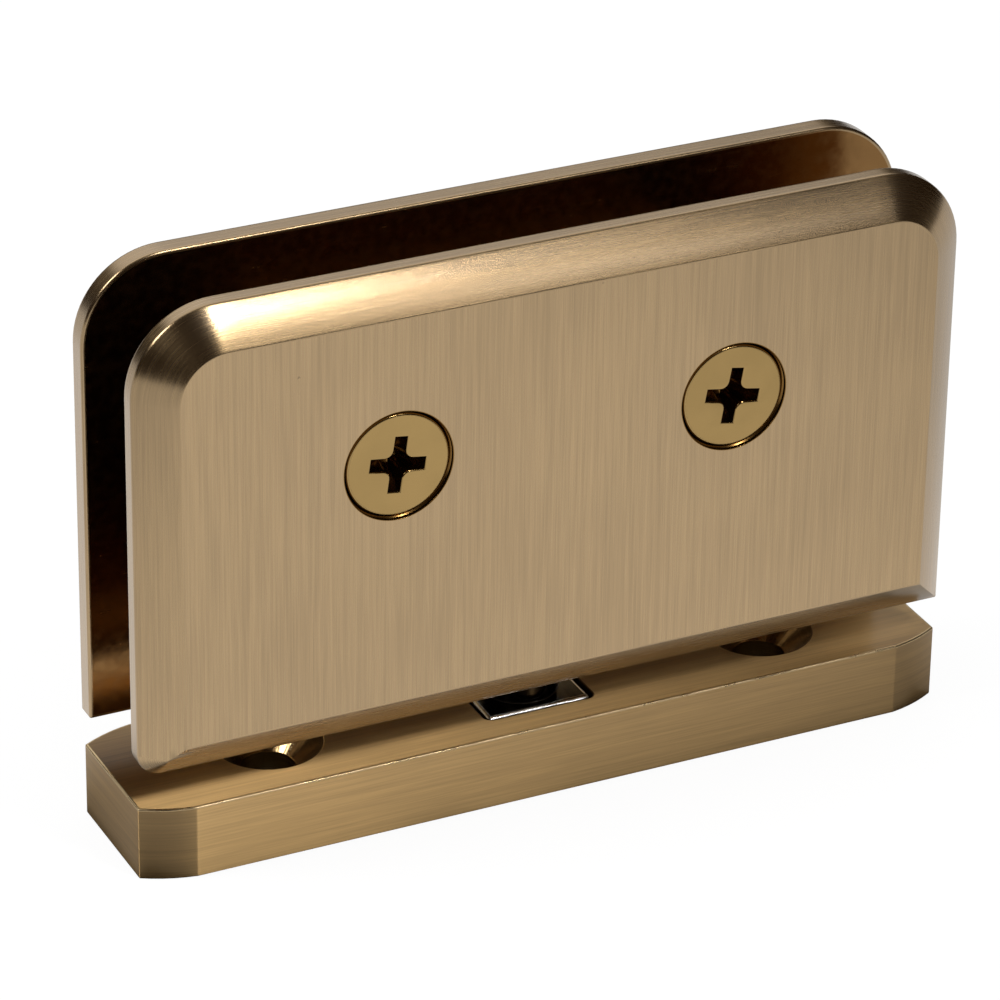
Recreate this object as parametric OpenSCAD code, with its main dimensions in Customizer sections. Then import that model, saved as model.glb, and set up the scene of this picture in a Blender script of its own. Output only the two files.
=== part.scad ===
// Pivot hinge for a frameless glass door, in millimetres.
// Two bevelled plates clamp the glass either side of a pivot block, which turns on a fixed pin in a base plate.
// Origin: centre of the base plate's underside. X runs along the base, Y through the glass, Z is up.

/* [Base plate] */
// Length of the base plate
base_l = 90; // [84:1:110]
// Width of the base plate
base_w = 18; // [17:0.5:24]
// Thickness of the base plate
base_t = 8; // [7.5:0.5:12]
// Width of the flat at each end of the base plate
base_end_w = 14; // [10:0.5:15]
// Length over which each corner curves in to the end
base_end_run = 8; // [5:0.5:10]

/* [Base fixing holes] */
// Distance between the two fixing holes
fixing_spacing = 56; // [48:1:66]
// Diameter of each fixing hole
fixing_hole_d = 5.5; // [4.5:0.1:6.5]
// Diameter of each countersink at the base's top
fixing_sink_d = 11.2; // [10:0.1:13]

/* [Pivot pin] */
// Length of the pin's rectangular foot, along the base
foot_l = 11.6; // [11:0.1:14]
// Width of the pin's foot, across the base
foot_w = 10.2; // [9.5:0.1:12]
// Thickness of the pin's foot
foot_t = 4; // [3.5:0.1:4.5]
// Chamfer round the top of the foot
foot_chamfer = 0.5; // [0.3:0.1:0.8]
// Gap all round the foot in its pocket
pocket_gap = 0.4; // [0.2:0.05:0.6]
// Corner radius of the pocket
pocket_corner_r = 0.9; // [0.5:0.1:1.5]
// Diameter of the pin's neck, between the base and the clamp
neck_d = 8; // [7.8:0.1:9]
// Diameter of the pin's journal, inside the pivot block
journal_d = 7; // [6.4:0.1:7.4]
// Length of the journal above the clamp's lower edge
journal_l = 27; // [26:0.5:30]
// Depth of the four flats milled in the journal
flat_depth = 0.45; // [0.3:0.05:0.6]
// Thickness of the washer that carries the clamp on the pin's shoulder
washer_t = 0.7; // [0.5:0.1:1.2]
// Outer diameter of that washer
washer_d = 10; // [9.2:0.1:10.4]

/* [Clamp plates] */
// Height of the plates' lower edge above the base
leaf_gap = 3.7; // [2:0.1:6]
// Width of each plate
plate_w = 90; // [84:1:110]
// Height of each plate
plate_h = 50; // [48:1:65]
// Thickness of each plate
plate_t = 4.8; // [4.6:0.1:6]
// Radius of the plates' upper corners
plate_corner_r = 9; // [6:0.5:12]
// Width of the bevel round each plate's outer face
bevel_w = 3.9; // [2:0.1:5]
// Square edge left beside the front plate's bevel
front_rim = 1.8; // [1:0.1:2.6]
// Square edge left beside the back plate's bevel
back_rim = 2.3; // [1:0.1:2.6]
// Radius of the front plate's one worn lower corner
worn_corner_r = 2.5; // [1:0.1:3.5]

/* [Pivot block] */
// Gap between the plates, filled by the block
glass_gap = 10.8; // [10.6:0.1:13]
// Width of the pivot block
block_w = 52; // [50:1:60]
// Height of the pivot block
block_h = 40; // [39:0.5:44]
// Radius of the block's upper corners
block_corner_r = 5; // [2:0.5:8]
// Wall of the two bushes
bush_wall = 1; // [0.7:0.1:1.2]
// Length of the lower bush
lower_bush_l = 10; // [8:0.5:10.5]
// Length of the upper bush
upper_bush_l = 7; // [5:0.5:7.5]
// Depth of the pin's bore beyond the journal's end
bore_spare = 1.5; // [0.5:0.1:3]

/* [Spring detent] */
// Height of the spring bores above the clamp's lower edge
detent_h = 15; // [14.8:0.1:15.2]
// Diameter of the two plungers
plunger_d = 6.9; // [6.4:0.1:7]
// Length of the two plungers
plunger_l = 9; // [8:0.5:10]
// Depth of the spring's seat in each plunger
plunger_seat = 6; // [4:0.5:7]
// Outer diameter of the springs
spring_d = 5; // [4.4:0.1:5.1]
// Wire diameter of the springs
spring_wire_d = 0.8; // [0.6:0.05:0.9]
// Number of turns in each spring
spring_turns = 8; // [6:1:9]
// Thread diameter of the set screws behind the springs
set_screw_d = 8; // [7.6:0.1:8.4]
// Length of the set screws
set_screw_l = 7; // [5:0.5:8]
// Width across the flats of the set screws' sockets
set_screw_key = 4; // [3:0.5:4.5]

/* [Clamp screws] */
// Distance between the two clamp screws
clamp_screw_spacing = 36.7; // [34:0.1:40]
// Height of the clamp screws above the plates' lower edge
clamp_screw_h = 30.3; // [28:0.1:32]
// Thread diameter of the clamp screws
clamp_screw_d = 6; // [5:0.5:6.5]
// Head diameter of the clamp screws
clamp_head_d = 11; // [10.4:0.1:11.4]
// Length of the clamp screws, head included
clamp_screw_l = 19; // [18.5:0.1:19.4]
// Diameter of the front plate's countersinks
clamp_sink_d = 12; // [11.8:0.1:12.6]

/* [Block screws] */
// Distance between the screws that hold the block to the back plate
block_screw_spacing = 42; // [40:0.5:43]
// Height of these screws above the plates' lower edge
block_screw_h = 6; // [4.5:0.1:6.4]
// Thread diameter of these screws
block_screw_d = 4; // [3:0.5:4]
// Head diameter of these screws
block_head_d = 7.5; // [6.8:0.1:7.5]
// Length of these screws, head included
block_screw_l = 14; // [13:0.1:14.4]
// Diameter of the block's countersinks
block_sink_d = 8.2; // [8.1:0.1:8.6]

/* [Foot screw] */
// Thread diameter of the screw that holds the pin's foot in the base
foot_screw_d = 5; // [4:0.5:5.5]
// Head diameter of this screw
foot_head_d = 9.2; // [8.6:0.1:9.2]
// Length of this screw, head included
foot_screw_l = 9; // [8:0.5:10]
// Diameter of the countersink in the base's underside
foot_sink_d = 10; // [9.8:0.1:10.6]

/* [Fits] */
// Radial clearance of a turning or sliding fit
running_gap = 0.05; // [0.02:0.01:0.08]
// Radial clearance between a screw's thread and its tapped hole
thread_gap = 0.05; // [0.02:0.01:0.1]
// Radial clearance of a hole that a screw only passes through
screw_hole_gap = 0.3; // [0.2:0.05:0.5]
// Depth of a tapped hole beyond the screw's end
tap_spare = 0.4; // [0.2:0.1:0.6]
// Edge land of the countersunk screw heads
head_land = 0.25; // [0.1:0.05:0.3]
// Gap left between a screw head's cone and its countersink
seat_gap = 0.02; // [0.01:0.01:0.05]

/* [Hidden] */
$fn = 96;

// Overlap that makes a cut break cleanly through a face
over = 0.5;
satin_brass = [0.66, 0.57, 0.45];
polished_brass = [0.70, 0.58, 0.36];
steel = [0.62, 0.63, 0.65];
dark_steel = [0.25, 0.25, 0.27];
bronze = [0.60, 0.42, 0.25];
acetal = [0.92, 0.92, 0.88];

leaf_z = base_t + leaf_gap;
inner_y = glass_gap / 2;
outer_y = inner_y + plate_t;
journal_r = journal_d / 2;
washer_bore_r = journal_r + 2 * running_gap;
bush_bore_r = journal_r + running_gap;
bush_r = bush_bore_r + bush_wall;
bore_top = journal_l + bore_spare;
spring_bore_r = plunger_d / 2 + running_gap;
// Plungers rest just clear of the round journal, and spring in on to the flats
plunger_tip = journal_r + running_gap;
set_screw_tip = block_w / 2 - set_screw_l;
spring_seat = plunger_tip + plunger_l - plunger_seat;

// ---------- shared shapes ----------

// Section of a slab whose upper edges are bevelled down to a square rim
module bevel_section(w, t, rim, bevel) {
    polygon([
        [-w / 2, 0], [w / 2, 0], [w / 2, rim],
        [w / 2 - bevel, t], [bevel - w / 2, t], [-w / 2, rim]
    ]);
}

// Slab centred on Z, bevelled along all four upper edges with mitred corners
module bevelled_slab(w, h, t, rim, bevel) {
    intersection() {
        rotate([90, 0, 0])
            linear_extrude(h, center = true)
                bevel_section(w, t, rim, bevel);
        rotate([90, 0, 90])
            linear_extrude(w, center = true)
                bevel_section(h, t, rim, bevel);
    }
}

// Rectangle with four round corners
module rounded_rectangle(w, h, r) {
    square([w - 2 * r, h], center = true);
    square([w, h - 2 * r], center = true);
    for (x = [-1, 1], y = [-1, 1])
        translate([x * (w / 2 - r), y * (h / 2 - r)])
            circle(r);
}

// Upright rectangle on the X axis with its two upper corners rounded
module arched_outline(w, h, r) {
    translate([-w / 2, 0])
        square([w, h - r]);
    translate([r - w / 2, 0])
        square([w - 2 * r, h]);
    for (x = [-1, 1])
        translate([x * (w / 2 - r), h - r])
            circle(r);
}

// Depth of a countersunk head's face below the surface, once its cone is seated
function head_sink(sink_d, head_d) = (sink_d - head_d) / 2 - head_land - seat_gap;

// Countersunk through hole, its mouth on z = 0 and its bore downwards
module countersunk_hole(sink_d, hole_r, depth) {
    mouth_r = sink_d / 2 + over;
    translate([0, 0, -depth - over])
        cylinder(h = depth + 2 * over, r = hole_r);
    translate([0, 0, hole_r - sink_d / 2])
        cylinder(h = mouth_r - hole_r, r1 = hole_r, r2 = mouth_r);
}

// Cross with filleted inner corners
module cross_outline(span_r, wing, fillet_r) {
    corner = wing / 2 + fillet_r;
    square([2 * span_r, wing], center = true);
    square([wing, 2 * span_r], center = true);
    difference() {
        square(2 * corner, center = true);
        for (x = [-1, 1], y = [-1, 1])
            translate([x * corner, y * corner])
                circle(fillet_r);
    }
}

// Cross recess whose wing ends slope in towards its bottom, its mouth on z = 0
module cross_recess(head_d) {
    span_r = 0.27 * head_d;
    bottom_r = 0.11 * head_d;
    depth = 0.3 * head_d;
    intersection() {
        translate([0, 0, -depth])
            cylinder(h = 2 * depth, r1 = bottom_r, r2 = 2 * span_r - bottom_r);
        translate([0, 0, -depth])
            linear_extrude(2 * depth)
                cross_outline(span_r, 0.12 * head_d, 0.08 * head_d);
    }
}

// Countersunk cross-recess screw, its head's face on z = 0 and its thread downwards
module countersunk_screw(thread_d, head_d, length, turn) {
    cone_h = (head_d - thread_d) / 2;
    difference() {
        union() {
            translate([0, 0, -head_land])
                cylinder(h = head_land, r = head_d / 2);
            translate([0, 0, -head_land - cone_h])
                cylinder(h = cone_h, r1 = thread_d / 2, r2 = head_d / 2);
            translate([0, 0, -length])
                cylinder(h = length - head_land - cone_h, r = thread_d / 2);
        }
        rotate([0, 0, turn])
            cross_recess(head_d);
    }
}

// ---------- base ----------

// One end of the base outline: two large arcs that meet a narrower flat end
module base_end_outline() {
    inset = (base_w - base_end_w) / 2;
    arc_r = (base_end_run * base_end_run + inset * inset) / (2 * inset);
    intersection() {
        translate([0, -base_w / 2])
            square([base_end_run, base_w]);
        translate([0, base_w / 2 - arc_r])
            circle(arc_r, $fn = 180);
        translate([0, arc_r - base_w / 2])
            circle(arc_r, $fn = 180);
    }
}

module base_outline() {
    straight_l = base_l - 2 * base_end_run;
    square([straight_l, base_w], center = true);
    for (side = [-1, 1])
        scale([side, 1])
            translate([straight_l / 2, 0])
                base_end_outline();
}

module base_plate() {
    color(satin_brass)
    difference() {
        linear_extrude(base_t)
            base_outline();
        for (side = [-1, 1])
            translate([side * fixing_spacing / 2, 0, base_t])
                countersunk_hole(fixing_sink_d, fixing_hole_d / 2, base_t);
        translate([0, 0, base_t - foot_t])
            linear_extrude(foot_t + over)
                rounded_rectangle(foot_l + 2 * pocket_gap, foot_w + 2 * pocket_gap, pocket_corner_r);
        rotate([180, 0, 0])
            countersunk_hole(foot_sink_d, foot_screw_d / 2 + screw_hole_gap, base_t);
    }
}

// Square frame that cuts the four flats out of the journal
module journal_flats() {
    across = journal_d - 2 * flat_depth;
    flat_spare = 0.1;
    window_h = plunger_d + 2 * (running_gap + flat_spare);
    translate([0, 0, leaf_z + detent_h])
        difference() {
            cube([2 * journal_d, 2 * journal_d, window_h], center = true);
            cube([across, across, window_h + over], center = true);
        }
}

module pivot_pin() {
    tap_top = head_sink(foot_sink_d, foot_head_d) + foot_screw_l + tap_spare;
    foot_z = base_t - foot_t;
    color(steel)
    difference() {
        union() {
            translate([0, 0, foot_z])
                bevelled_slab(foot_l, foot_w, foot_t, foot_t - foot_chamfer, foot_chamfer);
            translate([0, 0, foot_z])
                cylinder(h = leaf_z - washer_t - foot_z, r = neck_d / 2);
            translate([0, 0, foot_z])
                cylinder(h = leaf_z + journal_l - foot_z, r = journal_r);
        }
        journal_flats();
        translate([0, 0, foot_z - over])
            cylinder(h = tap_top - foot_z + over, r = foot_screw_d / 2 + thread_gap);
    }
}

module foot_screw() {
    color(steel)
    translate([0, 0, head_sink(foot_sink_d, foot_head_d)])
        rotate([180, 0, 0])
            countersunk_screw(foot_screw_d, foot_head_d, foot_screw_l, 0);
}

module thrust_washer() {
    color(acetal)
    translate([0, 0, leaf_z - washer_t])
        difference() {
            cylinder(h = washer_t, r = washer_d / 2);
            translate([0, 0, -over])
                cylinder(h = washer_t + 2 * over, r = washer_bore_r);
        }
}

// ---------- clamp plates ----------

// Plate lying on its inner face, lower edge on the X axis, bevel upwards
module bevelled_plate(rim) {
    r = plate_corner_r;
    difference() {
        translate([0, plate_h / 2, 0])
            bevelled_slab(plate_w, plate_h, plate_t, rim, bevel_w);
        for (side = [-1, 1])
            translate([side * plate_w / 2, plate_h, plate_t / 2])
                cube([2 * r, 2 * r, plate_t + 2 * over], center = true);
    }
    for (side = [-1, 1])
        translate([side * (plate_w / 2 - r), plate_h - r, 0])
            rotate([0, 0, side > 0 ? 0 : 90])
                rotate_extrude(angle = 90)
                    polygon([[0, 0], [r, 0], [r, rim], [r - bevel_w, plate_t], [0, plate_t]]);
}

// Turns a plate that lies on its inner face into the front plate's place
module stand_in_front() {
    translate([0, -inner_y, leaf_z])
        rotate([90, 0, 0])
            children();
}

module front_plate() {
    color(satin_brass)
    stand_in_front()
        difference() {
            bevelled_plate(front_rim);
            worn_corner_cut();
            for (side = [-1, 1])
                translate([side * clamp_screw_spacing / 2, clamp_screw_h, plate_t])
                    countersunk_hole(clamp_sink_d, clamp_screw_d / 2 + screw_hole_gap, plate_t);
        }
}

// Waste outside the rounded lower corner at the front plate's left
module worn_corner_cut() {
    r = worn_corner_r;
    translate([-plate_w / 2, 0, -over])
        linear_extrude(plate_t + 2 * over)
            difference() {
                translate([-over, -over])
                    square(r + over);
                translate([r, r])
                    circle(r);
            }
}

module back_plate() {
    clamp_tap = clamp_screw_l + head_sink(clamp_sink_d, clamp_head_d) + tap_spare - plate_t - glass_gap;
    block_tap = block_screw_l + head_sink(block_sink_d, block_head_d) + tap_spare - glass_gap;
    color(satin_brass)
    mirror([0, 1, 0])
        stand_in_front()
            difference() {
                bevelled_plate(back_rim);
                for (side = [-1, 1]) {
                    translate([side * clamp_screw_spacing / 2, clamp_screw_h, -over])
                        cylinder(h = clamp_tap + over, r = clamp_screw_d / 2 + thread_gap);
                    translate([side * block_screw_spacing / 2, block_screw_h, -over])
                        cylinder(h = block_tap + over, r = block_screw_d / 2 + thread_gap);
                }
            }
}

// ---------- pivot block and what runs in it ----------

module pivot_block() {
    color(satin_brass)
    difference() {
        translate([0, inner_y, leaf_z])
            rotate([90, 0, 0])
                linear_extrude(glass_gap)
                    arched_outline(block_w, block_h, block_corner_r);
        translate([0, 0, leaf_z - over])
            cylinder(h = bore_top + over, r = bush_r);
        translate([0, 0, leaf_z + detent_h])
            rotate([0, 90, 0])
                cylinder(h = block_w + 2 * over, r = spring_bore_r, center = true);
        for (side = [-1, 1]) {
            translate([side * set_screw_tip, 0, leaf_z + detent_h])
                rotate([0, side * 90, 0])
                    cylinder(h = set_screw_l + over, r = set_screw_d / 2 + thread_gap);
            translate([side * clamp_screw_spacing / 2, 0, leaf_z + clamp_screw_h])
                rotate([90, 0, 0])
                    cylinder(h = glass_gap + 2 * over, r = clamp_screw_d / 2 + screw_hole_gap, center = true);
            translate([side * block_screw_spacing / 2, -inner_y, leaf_z + block_screw_h])
                rotate([90, 0, 0])
                    countersunk_hole(block_sink_d, block_screw_d / 2 + screw_hole_gap, glass_gap);
        }
    }
}

module bush(z, length) {
    color(bronze)
    translate([0, 0, leaf_z + z])
        difference() {
            cylinder(h = length, r = bush_r);
            translate([0, 0, -over])
                cylinder(h = length + 2 * over, r = bush_bore_r);
        }
}

module lower_bush() {
    bush(0, lower_bush_l);
}

module upper_bush() {
    bush(journal_l - upper_bush_l, upper_bush_l);
}

// Places a piece whose axis is +Z, measured outwards from the pin, in one spring bore
module in_spring_bore(side) {
    translate([0, 0, leaf_z + detent_h])
        rotate([0, side * 90, 0])
            children();
}

// Solid plunger with a flat nose and a blind seat for its spring
module plunger() {
    nose_chamfer = 0.4;
    seat_r = spring_d / 2 + 3 * running_gap;
    r = plunger_d / 2;
    color(steel)
    translate([0, 0, plunger_tip])
        difference() {
            union() {
                cylinder(h = nose_chamfer, r1 = r - nose_chamfer, r2 = r);
                translate([0, 0, nose_chamfer])
                    cylinder(h = plunger_l - nose_chamfer, r = r);
            }
            translate([0, 0, plunger_l - plunger_seat])
                cylinder(h = plunger_seat + over, r = seat_r);
        }
}

module left_plunger() {
    in_spring_bore(-1)
        plunger();
}

module right_plunger() {
    in_spring_bore(1)
        plunger();
}

// Coil spring on the Z axis, its wire swept along a helix with eight sides
module coil_spring(z_low, z_high) {
    wire_r = spring_wire_d / 2;
    coil_r = spring_d / 2 - wire_r;
    steps_per_turn = 14;
    sides = 8;
    steps = spring_turns * steps_per_turn;
    rise = (z_high - z_low - spring_wire_d) / steps;
    points = [
        for (i = [0 : steps], k = [0 : sides - 1])
            let (
                around = 360 * i / steps_per_turn,
                ring = 360 * k / sides,
                reach = coil_r + wire_r * cos(ring)
            )
            [reach * cos(around), reach * sin(around), z_low + wire_r + rise * i + wire_r * sin(ring)]
    ];
    walls = [
        for (i = [0 : steps - 1], k = [0 : sides - 1])
            let (next = (k + 1) % sides)
            [i * sides + k, i * sides + next, (i + 1) * sides + next, (i + 1) * sides + k]
    ];
    first_end = [for (k = [sides - 1 : -1 : 0]) k];
    last_end = [for (k = [0 : sides - 1]) steps * sides + k];
    color(steel)
    polyhedron(points = points, faces = concat(walls, [first_end], [last_end]));
}

module left_spring() {
    in_spring_bore(-1)
        coil_spring(spring_seat, set_screw_tip);
}

module right_spring() {
    in_spring_bore(1)
        coil_spring(spring_seat, set_screw_tip);
}

module set_screw() {
    socket_depth = set_screw_l / 2;
    socket_r = set_screw_key / (2 * cos(30));
    color(dark_steel)
    translate([0, 0, set_screw_tip])
        difference() {
            cylinder(h = set_screw_l, r = set_screw_d / 2);
            translate([0, 0, set_screw_l - socket_depth])
                cylinder(h = socket_depth + over, r = socket_r, $fn = 6);
        }
}

module left_set_screw() {
    in_spring_bore(-1)
        set_screw();
}

module right_set_screw() {
    in_spring_bore(1)
        set_screw();
}

// ---------- screws through the clamp ----------

module clamp_screw(side, turn) {
    sink = head_sink(clamp_sink_d, clamp_head_d);
    color(polished_brass)
    translate([side * clamp_screw_spacing / 2, sink - outer_y, leaf_z + clamp_screw_h])
        rotate([90, 0, 0])
            countersunk_screw(clamp_screw_d, clamp_head_d, clamp_screw_l, turn);
}

module left_clamp_screw() {
    clamp_screw(-1, -8);
}

module right_clamp_screw() {
    clamp_screw(1, -10);
}

module block_screw(side) {
    sink = head_sink(block_sink_d, block_head_d);
    color(steel)
    translate([side * block_screw_spacing / 2, sink - inner_y, leaf_z + block_screw_h])
        rotate([90, 0, 0])
            countersunk_screw(block_screw_d, block_head_d, block_screw_l, 0);
}

module left_block_screw() {
    block_screw(-1);
}

module right_block_screw() {
    block_screw(1);
}

base_plate();
pivot_pin();
foot_screw();
thrust_washer();
front_plate();
back_plate();
pivot_block();
lower_bush();
upper_bush();
left_plunger();
right_plunger();
left_spring();
right_spring();
left_set_screw();
right_set_screw();
left_clamp_screw();
right_clamp_screw();
left_block_screw();
right_block_screw();
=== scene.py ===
import math

import bmesh
import bpy
from bpy.props import FloatProperty, FloatVectorProperty, IntProperty, PointerProperty
from mathutils import Matrix, Vector
from mathutils.geometry import tessellate_polygon


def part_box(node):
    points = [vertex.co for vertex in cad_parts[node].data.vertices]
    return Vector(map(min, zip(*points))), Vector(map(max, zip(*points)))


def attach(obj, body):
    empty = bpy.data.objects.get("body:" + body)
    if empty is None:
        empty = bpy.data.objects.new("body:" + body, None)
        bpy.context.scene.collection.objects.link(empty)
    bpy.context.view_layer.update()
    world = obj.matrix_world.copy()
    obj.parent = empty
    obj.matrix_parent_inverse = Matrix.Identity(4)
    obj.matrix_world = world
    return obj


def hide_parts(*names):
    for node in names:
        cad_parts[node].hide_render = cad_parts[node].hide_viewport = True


bl_info = {
    "name": "Pivot Hinge",
    "version": (1, 0, 0),
    "blender": (4, 5, 0),
    "location": "3D View > Sidebar > Hinge",
    "description": "Finished pieces of a pivot hinge for a frameless glass door",
    "category": "Object",
}

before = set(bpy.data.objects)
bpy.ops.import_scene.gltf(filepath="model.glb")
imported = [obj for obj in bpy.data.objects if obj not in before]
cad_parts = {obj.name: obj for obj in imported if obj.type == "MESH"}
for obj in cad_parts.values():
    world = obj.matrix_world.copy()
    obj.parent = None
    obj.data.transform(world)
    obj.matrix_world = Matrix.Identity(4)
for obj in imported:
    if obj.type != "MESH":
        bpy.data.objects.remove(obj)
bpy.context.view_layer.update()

MM = 0.001
X, Y, Z = Vector((1, 0, 0)), Vector((0, 1, 0)), Vector((0, 0, 1))
CREASE = math.radians(40)
SPRING_CREASE = math.radians(50)
SIDES = 96


# ---------- settings ----------


def length(label, text, millimetres):
    """A length property, whose default is given in millimetres."""
    return FloatProperty(
        name=label, description=text, default=millimetres * MM, min=0.0, precision=5, unit="LENGTH"
    )


def angle(label, text, degrees):
    """An angle property, whose default is given in degrees."""
    return FloatProperty(name=label, description=text, default=math.radians(degrees), subtype="ANGLE")


def colour(label, text, value):
    """A colour property, in linear red, green and blue."""
    return FloatVectorProperty(
        name=label, description=text, default=value, size=3, min=0.0, max=1.0, subtype="COLOR"
    )


def share(label, text, value, top=1.0):
    """A plain number from 0 to top."""
    return FloatProperty(name=label, description=text, default=value, min=0.0, max=top)


class HingePlateSettings(bpy.types.PropertyGroup):
    corner: length("Corner radius", "Radius of the plates' upper corners", 9)
    worn_corner: length("Worn corner", "Radius of the front plate's rubbed lower corner", 2.5)
    crisp_corner: length("Crisp corner", "Radius of the other lower corners", 0.25)
    bevel: length("Bevel width", "Width of the bevel round the outer face", 3.9)
    front_rim: length("Front rim", "Square edge beside the front plate's bevel", 1.8)
    back_rim: length("Back rim", "Square edge beside the back plate's bevel", 2.3)
    crown: length("Bevel crown", "Rise of the slightly rounded bevel", 0.16)
    arris: length("Arris radius", "Softening between the rim and the bevel", 0.5)
    inner_arris: length("Inner arris radius", "Softening between the rim and the inner face", 0.3)
    crest: length("Crest radius", "Softening between the bevel and the flat face", 0.25)
    sink: length("Countersink", "Diameter of the countersinks at the front face", 11.65)
    sink_lip: length("Countersink lip", "Upright lip above each countersink", 0.35)
    screw_hole: length("Screw hole", "Diameter of the clearance holes", 6.6)
    clamp_tap: length("Clamp tapping", "Diameter of the back plate's tapped holes", 6.1)
    block_tap: length("Block tapping", "Diameter of the block screws' tapped holes", 4.1)


class HingeBaseSettings(bpy.types.PropertyGroup):
    end_width: length("End width", "Width of the flat at each end", 14)
    end_run: length("End run", "Length of the facet at each corner", 5.5)
    end_bow: length("Facet bow", "Rise of the slightly bowed corner facets", 0.28)
    end_corner: length("End corner", "Softening between the end and the facet", 0.2)
    heel_corner: length("Facet heel", "Softening between the facet and the long side", 1.6)
    arris: length("Arris radius", "Softening of the edges", 0.17)
    spacing: length("Hole spacing", "Distance between the fixing holes", 56)
    hole: length("Fixing hole", "Diameter of the fixing holes", 5.5)
    sink: length("Countersink", "Diameter of the fixing holes' countersinks", 11.2)
    pocket_gap: length("Pocket gap", "Gap round the pin's foot in its pocket", 0.4)
    pocket_corner: length("Pocket corner", "Corner radius of the pocket", 0.9)
    foot_sink: length("Underside countersink", "Diameter of the foot screw's countersink", 10)
    foot_hole: length("Foot screw hole", "Diameter of the foot screw's hole", 5.6)


class HingePinSettings(bpy.types.PropertyGroup):
    chamfer: length("Foot chamfer", "Chamfer round the top of the foot", 0.28)
    corner: length("Foot corner", "Corner radius of the foot", 0.3)
    neck: length("Neck", "Diameter of the neck", 8)
    journal: length("Journal", "Diameter of the journal", 7)
    flat: length("Flat depth", "Depth of the four detent flats", 0.45)
    tap: length("Tapped hole", "Diameter of the foot screw's tapped hole", 5.1)


class HingeScrewSettings(bpy.types.PropertyGroup):
    land: length("Head land", "Upright edge of the countersunk heads", 0.25)
    rim: length("Head rim", "Softening of the heads' outer edge", 0.22)
    left_turn: angle("Left turn", "Turn of the left clamp screw's recess", -8)
    right_turn: angle("Right turn", "Turn of the right clamp screw's recess", -10)
    clamp_pitch: length("Clamp screw pitch", "Thread pitch of the clamp screws", 1.0)
    block_pitch: length("Block screw pitch", "Thread pitch of the block screws", 0.7)
    foot_pitch: length("Foot screw pitch", "Thread pitch of the foot screw", 0.8)
    set_pitch: length("Set screw pitch", "Thread pitch of the set screws", 1.25)
    set_key: length("Set screw key", "Width across the flats of the set screws' sockets", 4)


class HingeSpringSettings(bpy.types.PropertyGroup):
    wire: length("Wire", "Diameter of the spring wire", 0.8)
    turns: IntProperty(name="Turns", description="Number of turns in each spring", default=8, min=3)
    sides: IntProperty(name="Wire sides", description="Number of sides of the wire", default=10, min=4)


class HingeFinishSettings(bpy.types.PropertyGroup):
    satin: colour("Satin brass", "Brushed finish of the plates", (0.405, 0.276, 0.140))
    base: colour("Base brass", "Brushed finish of the base", (0.56, 0.365, 0.155))
    # Darker than the plates' brass: painted shade of the gap between the plates.
    inside: colour("Inner faces", "Plated, unbrushed inner faces", (0.25, 0.135, 0.05))
    bright: colour("Bright brass", "Freshly machined countersinks", (0.50, 0.35, 0.17))
    rubbed: colour("Rubbed edge", "Brass rubbed bright along the base's edges", (0.60, 0.45, 0.25))
    # Partly real tarnish, partly painted shade: darkens the countersink walls, the tapped holes and the
    # screws' recesses.
    tarnish_and_shade: colour("Countersink walls", "Dull brass round the clamp screws", (0.22, 0.12, 0.035))
    # Painted shade: darkens the pin's pocket in the base, under the clamp.
    shadow: colour("Dark recesses", "Tarnish in recesses and gaps", (0.12, 0.065, 0.022))
    screw: colour("Screw brass", "Polished brass of the clamp screws", (0.37, 0.245, 0.095))
    # Painted dark reflection: the pin's steel is near black for the dark underside it mirrors.
    steel: colour("Pin steel", "Polished steel of the pin", (0.07, 0.068, 0.07))
    # Painted highlight along the pin's chamfer, besides the lamps' own reflection in it.
    pin_edge_highlight: colour("Pin edge", "Bright steel of the pin's rubbed edge", (0.8, 0.8, 0.8))
    bronze: colour("Bush bronze", "Sintered bronze of the bushes", (0.42, 0.24, 0.11))
    block: colour("Block brass", "Machined brass of the pivot block", (0.46, 0.32, 0.14))
    screw_steel: colour("Screw steel", "Plain steel of the hidden screws and springs", (0.36, 0.36, 0.37))
    black_steel: colour("Blackened steel", "Set screws", (0.035, 0.035, 0.038))
    acetal: colour("Washer", "Natural acetal of the thrust washer", (0.76, 0.76, 0.71))


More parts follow.
